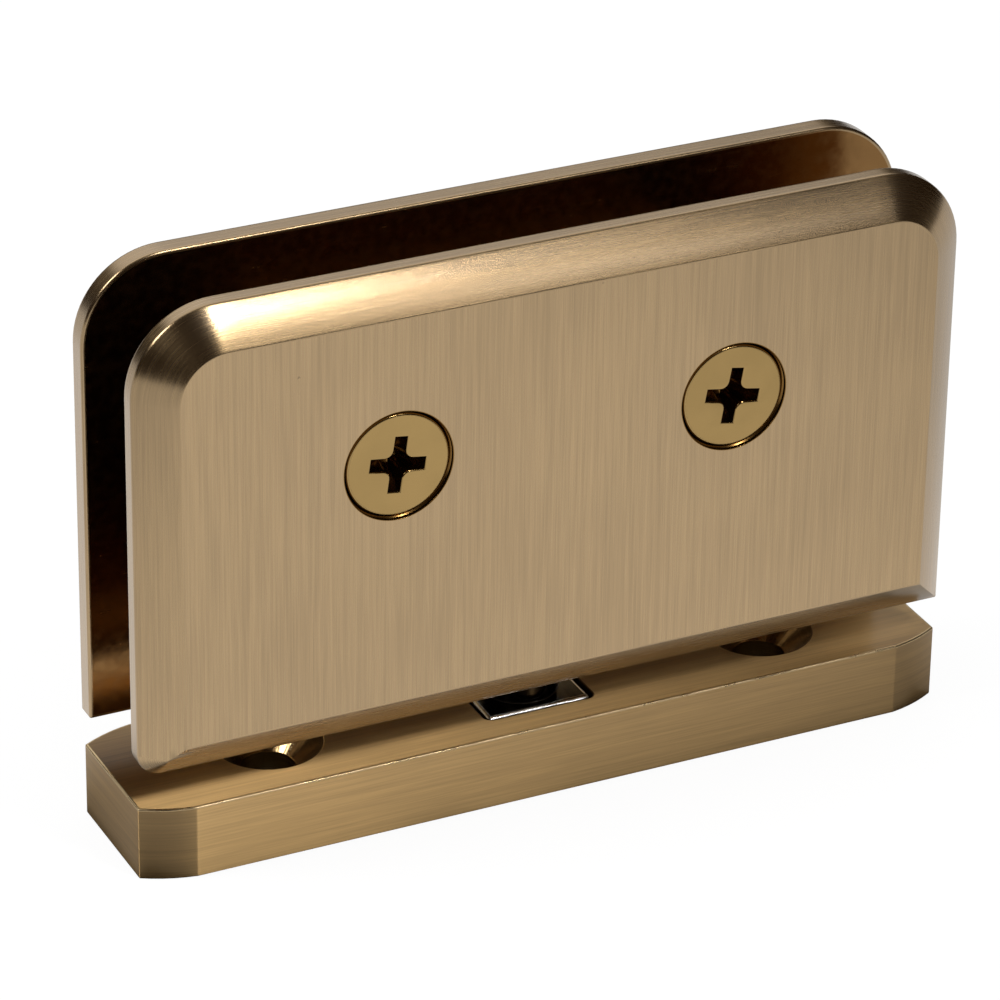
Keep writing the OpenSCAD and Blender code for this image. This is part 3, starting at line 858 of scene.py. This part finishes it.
def coil_tree():
    """Geometry nodes that sweep a round or four-sided wire along a helix, with a closed turn at each end if
    asked."""
    tree = bpy.data.node_groups.get(COIL_TREE)
    if tree:
        return tree
    tree = bpy.data.node_groups.new(COIL_TREE, "GeometryNodeTree")
    tree.is_modifier = True
    for label, kind in (
        ("Turns", "Float"), ("Coil radius", "Float"), ("Height", "Float"), ("Wire radius", "Float"),
        ("Wire sides", "Int"), ("Steps per turn", "Int"), ("End rise", "Float"), ("Material", "Material"),
    ):
        tree.interface.new_socket(name=label, in_out="INPUT", socket_type="NodeSocket" + kind)
    tree.interface.new_socket(name="Geometry", in_out="OUTPUT", socket_type="NodeSocketGeometry")
    nodes = Nodes(tree)
    given = nodes.add("NodeGroupInput").outputs
    spiral = nodes.add("GeometryNodeCurveSpiral", {
        "Height": 0.0, "Resolution": given["Steps per turn"], "Rotations": given["Turns"],
        "Start Radius": given["Coil radius"], "End Radius": given["Coil radius"],
    })
    part = nodes.add("GeometryNodeSplineParameter").outputs["Factor"]
    rise = given["End rise"]
    one_turn = nodes.math("DIVIDE", 1.0, given["Turns"])
    rest = nodes.math("SUBTRACT", 1.0, one_turn)
    middle = nodes.math("SUBTRACT", given["Height"], nodes.math("MULTIPLY", rise, 2.0))
    lift = 0.0
    for start, stop, height in ((0.0, one_turn, rise), (one_turn, rest, middle), (rest, 1.0, rise)):
        lift = nodes.math("ADD", lift, nodes.ramp(part, 0.0, height, start, stop, "LINEAR"))
    offset = nodes.add("ShaderNodeCombineXYZ", {"Z": lift})
    move = nodes.add("GeometryNodeSetPosition", {
        "Geometry": spiral.outputs["Curve"], "Offset": offset.outputs[0],
    })
    section = nodes.add("GeometryNodeCurvePrimitiveCircle", {
        "Resolution": given["Wire sides"], "Radius": given["Wire radius"],
    })
    sweep = nodes.add("GeometryNodeCurveToMesh", {
        "Curve": move.outputs["Geometry"], "Profile Curve": section.outputs["Curve"], "Fill Caps": True,
    })
    real = nodes.add("GeometryNodeRealizeInstances", {0: sweep.outputs["Mesh"]})
    paint = nodes.add("GeometryNodeSetMaterial", {"Geometry": real.outputs[0], "Material": given["Material"]})
    nodes.add("NodeGroupOutput", {0: paint.outputs[0]})
    return tree


def coil_mesh(turns, radius, height, wire, sides, material, end_rise=0.0):
    """Mesh of the coil tree. radius is the coil's, to the middle of the wire, and wire is the wire's."""
    tree = coil_tree()
    values = {
        "Turns": turns, "Coil radius": radius, "Height": height, "Wire radius": wire, "Wire sides": sides,
        "Steps per turn": COIL_STEPS, "End rise": end_rise, "Material": material,
    }
    holder = add_object("coil", bpy.data.meshes.new("coil"))
    modifier = holder.modifiers.new("Coil", "NODES")
    modifier.node_group = tree
    for item in tree.interface.items_tree:
        if item.in_out == "INPUT":
            modifier[item.identifier] = values[item.name]
    depsgraph = bpy.context.evaluated_depsgraph_get()
    mesh = bpy.data.meshes.new_from_object(holder.evaluated_get(depsgraph))
    bpy.data.objects.remove(holder)
    return mesh


def add_thread(piece, place, radius, pitch, span, reach, material):
    """Joins a thread to a screw. span is the thread's length and reach is the screw's."""
    mesh = coil_mesh(span / pitch, radius - THREAD_AXIS * pitch, span, THREAD_WIRE * pitch, 4, material)
    mesh.transform(place @ Matrix.Translation((0, 0, -reach + THREAD_TIP)))
    bm = bmesh.new()
    bm.from_mesh(piece.data)
    before = len(bm.faces)
    bm.from_mesh(mesh)
    bm.faces.ensure_lookup_table()
    for face in bm.faces[before:]:
        face.smooth = True
        face.material_index = 0
    bmesh.ops.recalc_face_normals(bm, faces=bm.faces[before:])
    bm.to_mesh(piece.data)
    bm.free()
    piece.data.set_sharp_from_angle(angle=CREASE)
    bpy.data.meshes.remove(mesh)


# ---------- screws ----------

# Sizes of a cross recess, as shares of the head's diameter.
RECESS_SPAN, RECESS_WING, RECESS_FILLET, RECESS_DEPTH = 0.27, 0.12, 0.08, 0.3
# How much the recess's span, wing and fillet have shrunk at its bottom, where it is shaped, and its point.
RECESS_TAPER, RECESS_STEPS, RECESS_POINT = (0.58, 0.25, 0.55), (0.35, 0.7, 1.0), 0.35 * MM
# Rolled lip of the recess: how far its outline grows, and at what height.
RECESS_LIP = ((0.17, 0.0), (0.09, -0.02), (0.03, -0.07), (0.0, -0.15), (-0.01, -0.25))
LIP_BANDS, RECESS_BAND = 3, 0.3 * MM


def cross_outline(span, wing, fillet, steps=5):
    """Cross with filleted inner corners, anticlockwise from the right arm's lower corner."""
    arm = [Vector((span, -wing / 2)), Vector((span, wing / 2))]
    centre = Vector((wing / 2 + fillet, wing / 2 + fillet))
    for k in range(steps + 1):
        turn = math.radians(270 - 90 * k / steps)
        arm.append(centre + fillet * Vector((math.cos(turn), math.sin(turn))))
    return [Matrix.Rotation(quarter * math.pi / 2, 2) @ p for quarter in range(4) for p in arm]


def make_screw(settings, name, materials, node, axis, turn, pitch, thread):
    """Countersunk cross-recess screw in place of a CAD node. axis points out of its head, and thread is the
    thread's diameter."""
    low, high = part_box(node)
    size = high - low
    long_axis = max(range(3), key=lambda i: abs(axis[i]))
    reach = size[long_axis]
    width = max(size[i] for i in range(3) if i != long_axis)
    head, thread_radius = width / 2, thread / 2
    cone = head - thread_radius
    root = thread_radius - THREAD_DEPTH * pitch
    neck = -settings.land - cone
    shell = Shell()
    first, last = shell.bore((0, 0), softened([
        (head - 1.4 * MM, 0), (head - 0.25 * MM, -0.012 * MM, 0.3 * MM), (head, -0.03 * MM, settings.rim),
        (head, -settings.land, 0.08 * MM), (thread_radius, neck, 0.1 * MM), (root, neck - 0.4 * MM, 0.1 * MM),
        (root, -reach + THREAD_TIP, 0.05 * MM), (root - 0.5 * MM, -reach, 0.05 * MM),
        (root - 0.9 * MM, -reach),
    ], 3, 0.03 * MM), sides=72)
    shell.patch([last])
    span, wing, fillet, depth = (
        part * width for part in (RECESS_SPAN, RECESS_WING, RECESS_FILLET, RECESS_DEPTH)
    )
    outlines = []
    for grow, z in RECESS_LIP:
        grow *= MM
        outlines.append((cross_outline(span + grow, wing + 2 * grow, fillet - grow), z * MM))
    for down in RECESS_STEPS:
        left = (size * (1 - taper * down) for size, taper in zip((span, wing, fillet), RECESS_TAPER))
        outlines.append((cross_outline(*left), -depth * down))
    turned = Matrix.Rotation(turn, 2)
    rings = [shell.ring([upright(turned @ p, z) for p in outline]) for outline, z in outlines]
    along = lengths([shell.points[i] for i in (*rings[0], rings[0][0])])
    for i in range(len(rings) - 1):
        across = (i * RECESS_BAND, (i + 1) * RECESS_BAND)
        # Bands below the recess's lip take slot 1: partly tarnish, partly painted shade.
        shell.band(rings[i], rings[i + 1], along, across, 0 if i < LIP_BANDS else 1)
    shell.cone(rings[-1], (0, 0, -depth - RECESS_POINT), 1)
    shell.patch([first, rings[0]])
    place = aimed((low + high) / 2 + axis * reach / 2, axis)
    piece = shell.build(name, materials, place)
    threads = reach + neck - 2 * THREAD_TIP
    add_thread(piece, place, thread_radius, pitch, threads, reach, materials[0])
    return piece


class HINGE_OT_clamp_screws(bpy.types.Operator):
    """Makes the two polished clamp screws with their cross recesses and threads"""

    bl_idname = "hinge.clamp_screws"
    bl_label = "Clamp screws"

    def execute(self, context):
        settings = context.scene.hinge_screws
        colours = context.scene.hinge_finish
        materials = [
            finish(polished_metal, "polished_screw_brass", colours.screw, 0.13, 0.06),
            # The recess: partly tarnish, partly painted shade.
            finish(polished_metal, "recess_tarnish_and_shade", colours.tarnish_and_shade, 0.16),
        ]
        pitch = settings.clamp_pitch
        for side, turn in (("left", settings.left_turn), ("right", settings.right_turn)):
            node = f"{side}_clamp_screw"
            piece = make_screw(settings, f"{side}_brass_screw", materials, node, -Y, turn, pitch, 6 * MM)
            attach(piece, "clamp")
            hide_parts(node)
        return {"FINISHED"}


class HINGE_OT_hidden_screws(bpy.types.Operator):
    """Makes the block screws and the foot screw"""

    bl_idname = "hinge.hidden_screws"
    bl_label = "Block and foot screws"

    def execute(self, context):
        settings = context.scene.hinge_screws
        colours = context.scene.hinge_finish
        materials = [finish(polished_metal, "plain_screw_steel", colours.screw_steel, 0.22, 0.1)] * 2
        pitch = settings.block_pitch
        for side in ("left", "right"):
            node = f"{side}_block_screw"
            piece = make_screw(settings, f"{side}_steel_screw", materials, node, -Y, 0.0, pitch, 4 * MM)
            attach(piece, "clamp")
            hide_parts(node)
        pitch = settings.foot_pitch
        piece = make_screw(settings, "foot_fixing_screw", materials, "foot_screw", -Z, 0.0, pitch, 5 * MM)
        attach(piece, "base")
        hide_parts("foot_screw")
        return {"FINISHED"}


class HINGE_OT_set_screws(bpy.types.Operator):
    """Makes the two socket set screws that close the spring bores"""

    bl_idname = "hinge.set_screws"
    bl_label = "Set screws"

    def execute(self, context):
        settings = context.scene.hinge_screws
        colours = context.scene.hinge_finish
        material = finish(polished_metal, "blackened_steel", colours.black_steel, 0.3, 0.12)
        pitch = settings.set_pitch
        key = settings.set_key / 2 / math.cos(math.pi / 6)
        socket = closed_outline(circle(key, 6), [0.05 * MM] * 6, 2, 0.5 * MM)
        for side, out in (("left", -1), ("right", 1)):
            node = f"{side}_set_screw"
            low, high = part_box(node)
            radius, reach = (high.z - low.z) / 2, high.x - low.x
            root = radius - THREAD_DEPTH * pitch
            shell = Shell()
            floor = -reach / 2
            mouth, bottom = shell.stack(
                socket, [(-0.25 * MM, 0), (0, -0.2 * MM), (0, floor), (0.4 * MM, floor - 0.05 * MM)]
            )
            shell.cone(bottom, (0, 0, floor - 0.6 * MM))
            first, last = shell.bore((0, 0), softened([
                (radius - 0.9 * MM, 0), (radius - 0.5 * MM, 0, 0.1 * MM), (root, -0.4 * MM, 0.1 * MM),
                (root, -reach + THREAD_TIP, 0.1 * MM), (root - 0.6 * MM, -reach, 0.1 * MM),
                (0.8 * MM, -reach),
            ], 3, 0.03 * MM), sides=60)
            shell.patch([first, mouth])
            shell.patch([last])
            place = aimed((low + high) / 2 + X * (out * reach / 2), X * out)
            piece = shell.build(f"{side}_socket_screw", [material], place)
            add_thread(piece, place, radius, pitch, reach - 2 * THREAD_TIP, reach, material)
            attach(piece, "clamp")
            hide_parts(node)
        return {"FINISHED"}


# ---------- springs and bearings ----------

END_RISE = 1.06  # rise of a spring's closed end turn, as a share of the wire's diameter


class HINGE_OT_springs(bpy.types.Operator):
    """Makes the two coil springs behind the plungers"""

    bl_idname = "hinge.springs"
    bl_label = "Springs"

    def execute(self, context):
        settings = context.scene.hinge_springs
        colours = context.scene.hinge_finish
        material = finish(polished_metal, "spring_steel", colours.screw_steel, 0.2, 0.1)
        wire, turns = settings.wire / 2, float(settings.turns)
        for side, out in (("left", -1), ("right", 1)):
            node = f"{side}_spring"
            low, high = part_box(node)
            radius, tall = (high.z - low.z) / 2 - wire, high.x - low.x - 2 * wire
            mesh = coil_mesh(turns, radius, tall, wire, settings.sides, material, settings.wire * END_RISE)
            mesh.transform(aimed((low + high) / 2 - X * (out * tall / 2), X * out))
            mesh.shade_smooth()
            mesh.set_sharp_from_angle(angle=SPRING_CREASE)
            piece = add_object(f"{side}_coil_spring", mesh)
            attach(piece, "clamp")
            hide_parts(node)
        return {"FINISHED"}


class HINGE_OT_bearings(bpy.types.Operator):
    """Finishes the pivot block, the bushes, the thrust washer and the plungers"""

    bl_idname = "hinge.bearings"
    bl_label = "Block and bearings"

    def execute(self, context):
        colours = context.scene.hinge_finish
        for nodes, *look in (
            (("pivot_block",), machined_metal, "machined_block_brass", colours.block, 0.28, 1800.0, 0),
            (("lower_bush", "upper_bush"), sintered_bronze, "sintered_bronze", colours.bronze),
            (("thrust_washer",), turned_plastic, "turned_acetal", colours.acetal),
            (
                ("left_plunger", "right_plunger"),
                machined_metal, "ground_plunger_steel", colours.screw_steel, 0.18, 2200.0, 0,
            ),
        ):
            for node in nodes:
                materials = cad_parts[node].data.materials
                materials.clear()
                materials.append(finish(*look))
        return {"FINISHED"}


# ---------- stage ----------

AIM_HEIGHT = Vector((0, 0, 0.03))
WALL_EDGE = math.radians(6)
FLOOR_SIZE = 6.0
FLOOR_COLOUR = (0.92, 0.92, 0.92)
SENSOR = 36
CLIP_START = 0.01


def floor_material(settings, foot):
    """Pale floor. It shines by itself to what looks straight at it, so that its ground stays white and its
    shadow faint. Reflections see painted shade on it: darker to the sides and close round the base, whose
    size is foot."""
    material, nodes = blank_material("pale_floor")
    maths, ramp = nodes.math, nodes.ramp
    x, y, _ = nodes.add("ShaderNodeSeparateXYZ", {0: nodes.place()}).outputs
    gap_x, gap_y = (
        maths("MAXIMUM", maths("SUBTRACT", maths("ABSOLUTE", part), size / 2), 0.0)
        for part, size in ((x, foot.x), (y, foot.y))
    )
    gap = maths("SQRT", maths("ADD", maths("MULTIPLY", gap_x, gap_x), maths("MULTIPLY", gap_y, gap_y)))
    # Painted shade: deeper behind the base than in front of it, and deepest in the last millimetre.
    deepest = ramp(y, settings.shade_level, 0.4 * settings.shade_level, -0.012, 0.012)
    painted_base_shade = ramp(gap, deepest, 1.0, 0.0, settings.shade_reach)
    painted_base_shade = maths("MULTIPLY", painted_base_shade, ramp(gap, 0.1, 1.0, 0.0, 1 * MM))
    # Painted shade: in reflections the floor is also darker to either side.
    aside = maths("ABSOLUTE", maths("ADD", x, 0.01))
    level = maths("MULTIPLY", painted_base_shade, ramp(aside, 1.0, settings.floor_sides, 0.03, 0.15))
    path = nodes.add("ShaderNodeLightPath").outputs
    glossy = path["Is Glossy Ray"]
    strength = maths("ADD", maths("SUBTRACT", 1.0, glossy), maths("MULTIPLY", glossy, level))
    matt = nodes.add("ShaderNodeBsdfDiffuse", {"Color": FLOOR_COLOUR})
    glow = nodes.add("ShaderNodeEmission", {"Strength": maths("MULTIPLY", strength, settings.floor)})
    glowing = maths("ADD", maths("MULTIPLY", path["Is Camera Ray"], 0.9), glossy)
    mix = nodes.add("ShaderNodeMixShader", {0: glowing, 1: matt.outputs[0], 2: glow.outputs[0]})
    nodes.add("ShaderNodeOutputMaterial", {0: mix.outputs[0]})
    return material


def room_light(tree, settings):
    """World: white to what looks at it, even on matt surfaces, and in reflections a dark studio with a pale
    wall behind on the right."""
    tree.nodes.clear()
    nodes = Nodes(tree)
    maths = nodes.math
    path = nodes.add("ShaderNodeLightPath").outputs
    glossy = path["Is Glossy Ray"]
    direction = nodes.add("ShaderNodeTexCoord").outputs["Generated"]
    middle = round_about(settings.wall_azimuth, settings.wall_elevation)
    toward = nodes.add("ShaderNodeVectorMath", {0: direction, 1: middle}, operation="DOT_PRODUCT")
    edges = (math.cos(settings.wall_spread + edge) for edge in (WALL_EDGE, -WALL_EDGE))
    wall = nodes.ramp(toward.outputs["Value"], 0.0, 1.0, *edges)
    seen = maths("ADD", path["Is Camera Ray"], path["Is Transmission Ray"], True)
    matt = maths("MULTIPLY", maths("SUBTRACT", 1.0, maths("ADD", seen, glossy, True)), settings.room)
    pale = maths("ADD", maths("ADD", maths("MULTIPLY", glossy, wall), seen), matt)
    dark = maths("MULTIPLY", glossy, maths("SUBTRACT", 1.0, wall))
    lit = nodes.add("ShaderNodeBackground", {"Color": (1, 1, 1), "Strength": pale})
    unlit = nodes.add("ShaderNodeBackground", {"Color": settings.unlit, "Strength": dark})
    both = nodes.add("ShaderNodeAddShader", {0: lit.outputs[0], 1: unlit.outputs[0]})
    nodes.add("ShaderNodeOutputWorld", {"Surface": both.outputs[0]})


def direction_of(azimuth, elevation):
    """Unit vector at that angle; azimuth 0 is in front and a quarter turn is to the right."""
    across = math.cos(elevation)
    return Vector((math.sin(azimuth) * across, -math.cos(azimuth) * across, math.sin(elevation)))


def round_about(azimuth, elevation):
    """Point at that angle, 1 m from the hinge."""
    return direction_of(azimuth, elevation) + AIM_HEIGHT


class HINGE_OT_stage(bpy.types.Operator):
    """Sets the floor, lights and camera"""

    bl_idname = "hinge.stage"
    bl_label = "Stage"

    def execute(self, context):
        settings = context.scene.hinge_stage
        scene = context.scene
        scene.view_settings.view_transform = "Standard"
        scene.world = bpy.data.worlds.new("studio")
        scene.world.use_nodes = True
        room_light(scene.world.node_tree, settings)
        mesh = bpy.data.meshes.new("floor")
        mesh.from_pydata([(x, y, 0) for x, y in rectangle(FLOOR_SIZE, FLOOR_SIZE)], [], [(0, 1, 2, 3)])
        mesh.materials.append(floor_material(settings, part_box("base_plate")[1] * 2))
        piece = add_object("floor", mesh)
        # Each lamp's name, angle round the hinge, angle up in degrees, width, height and radiance.
        for name, azimuth, elevation, width, height, radiance in (
            ("front_softbox", settings.key_azimuth, 53, 0.13, 0.17, settings.key),
            ("small_lamp", math.radians(30), 38, 0.1, 0.17, settings.spark),
            ("left_softbox", math.radians(-97), 47, 0.4, 0.35, settings.side),
        ):
            lamp = bpy.data.lights.new(name, "AREA")
            lamp.shape = "RECTANGLE"
            lamp.size, lamp.size_y = width, height
            lamp.energy = radiance * math.pi * width * height
            point = round_about(azimuth, math.radians(elevation))
            add_object(name, lamp).matrix_world = aimed(point, point - AIM_HEIGHT)
        data = bpy.data.cameras.new("camera")
        data.lens = settings.lens
        data.sensor_width = SENSOR
        data.clip_start = CLIP_START
        a, r = settings.azimuth, settings.roll
        back, right = direction_of(a, settings.elevation), Vector((math.cos(a), math.sin(a), 0))
        up = back.cross(right)
        right, up = math.cos(r) * right + math.sin(r) * up, math.cos(r) * up - math.sin(r) * right
        turn = Matrix((right, up, back)).transposed().to_4x4()
        scene.camera = add_object("camera", data)
        scene.camera.matrix_world = Matrix.Translation(settings.aim + back * settings.distance) @ turn
        return {"FINISHED"}


# ---------- panel and registration ----------

STEPS = (
    HINGE_OT_plates, HINGE_OT_base, HINGE_OT_pin, HINGE_OT_clamp_screws, HINGE_OT_hidden_screws,
    HINGE_OT_set_screws, HINGE_OT_springs, HINGE_OT_bearings, HINGE_OT_stage,
)
SETTINGS = {
    "hinge_plates": HingePlateSettings,
    "hinge_base": HingeBaseSettings,
    "hinge_pin": HingePinSettings,
    "hinge_screws": HingeScrewSettings,
    "hinge_springs": HingeSpringSettings,
    "hinge_finish": HingeFinishSettings,
    "hinge_stage": HingeStageSettings,
}


class HINGE_PT_pieces(bpy.types.Panel):
    """Lists the hinge's pieces"""

    bl_idname = "HINGE_PT_pieces"
    bl_label = "Pivot hinge"
    bl_space_type = "VIEW_3D"
    bl_region_type = "UI"
    bl_category = "Hinge"

    def draw(self, context):
        for step in STEPS:
            self.layout.operator(step.bl_idname)
        for name, group in SETTINGS.items():
            box = self.layout.box()
            settings = getattr(context.scene, name)
            for prop in group.__annotations__:
                box.prop(settings, prop)


def register():
    for group in (*SETTINGS.values(), *STEPS, HINGE_PT_pieces):
        bpy.utils.register_class(group)
    for name, group in SETTINGS.items():
        setattr(bpy.types.Scene, name, PointerProperty(type=group))


def unregister():
    for name in SETTINGS:
        delattr(bpy.types.Scene, name)
    for group in reversed((*SETTINGS.values(), *STEPS, HINGE_PT_pieces)):
        bpy.utils.unregister_class(group)


def main():
    register()
    for step in STEPS:
        category, name = step.bl_idname.split(".")
        getattr(getattr(bpy.ops, category), name)()


if __name__ == "__main__":
    main()
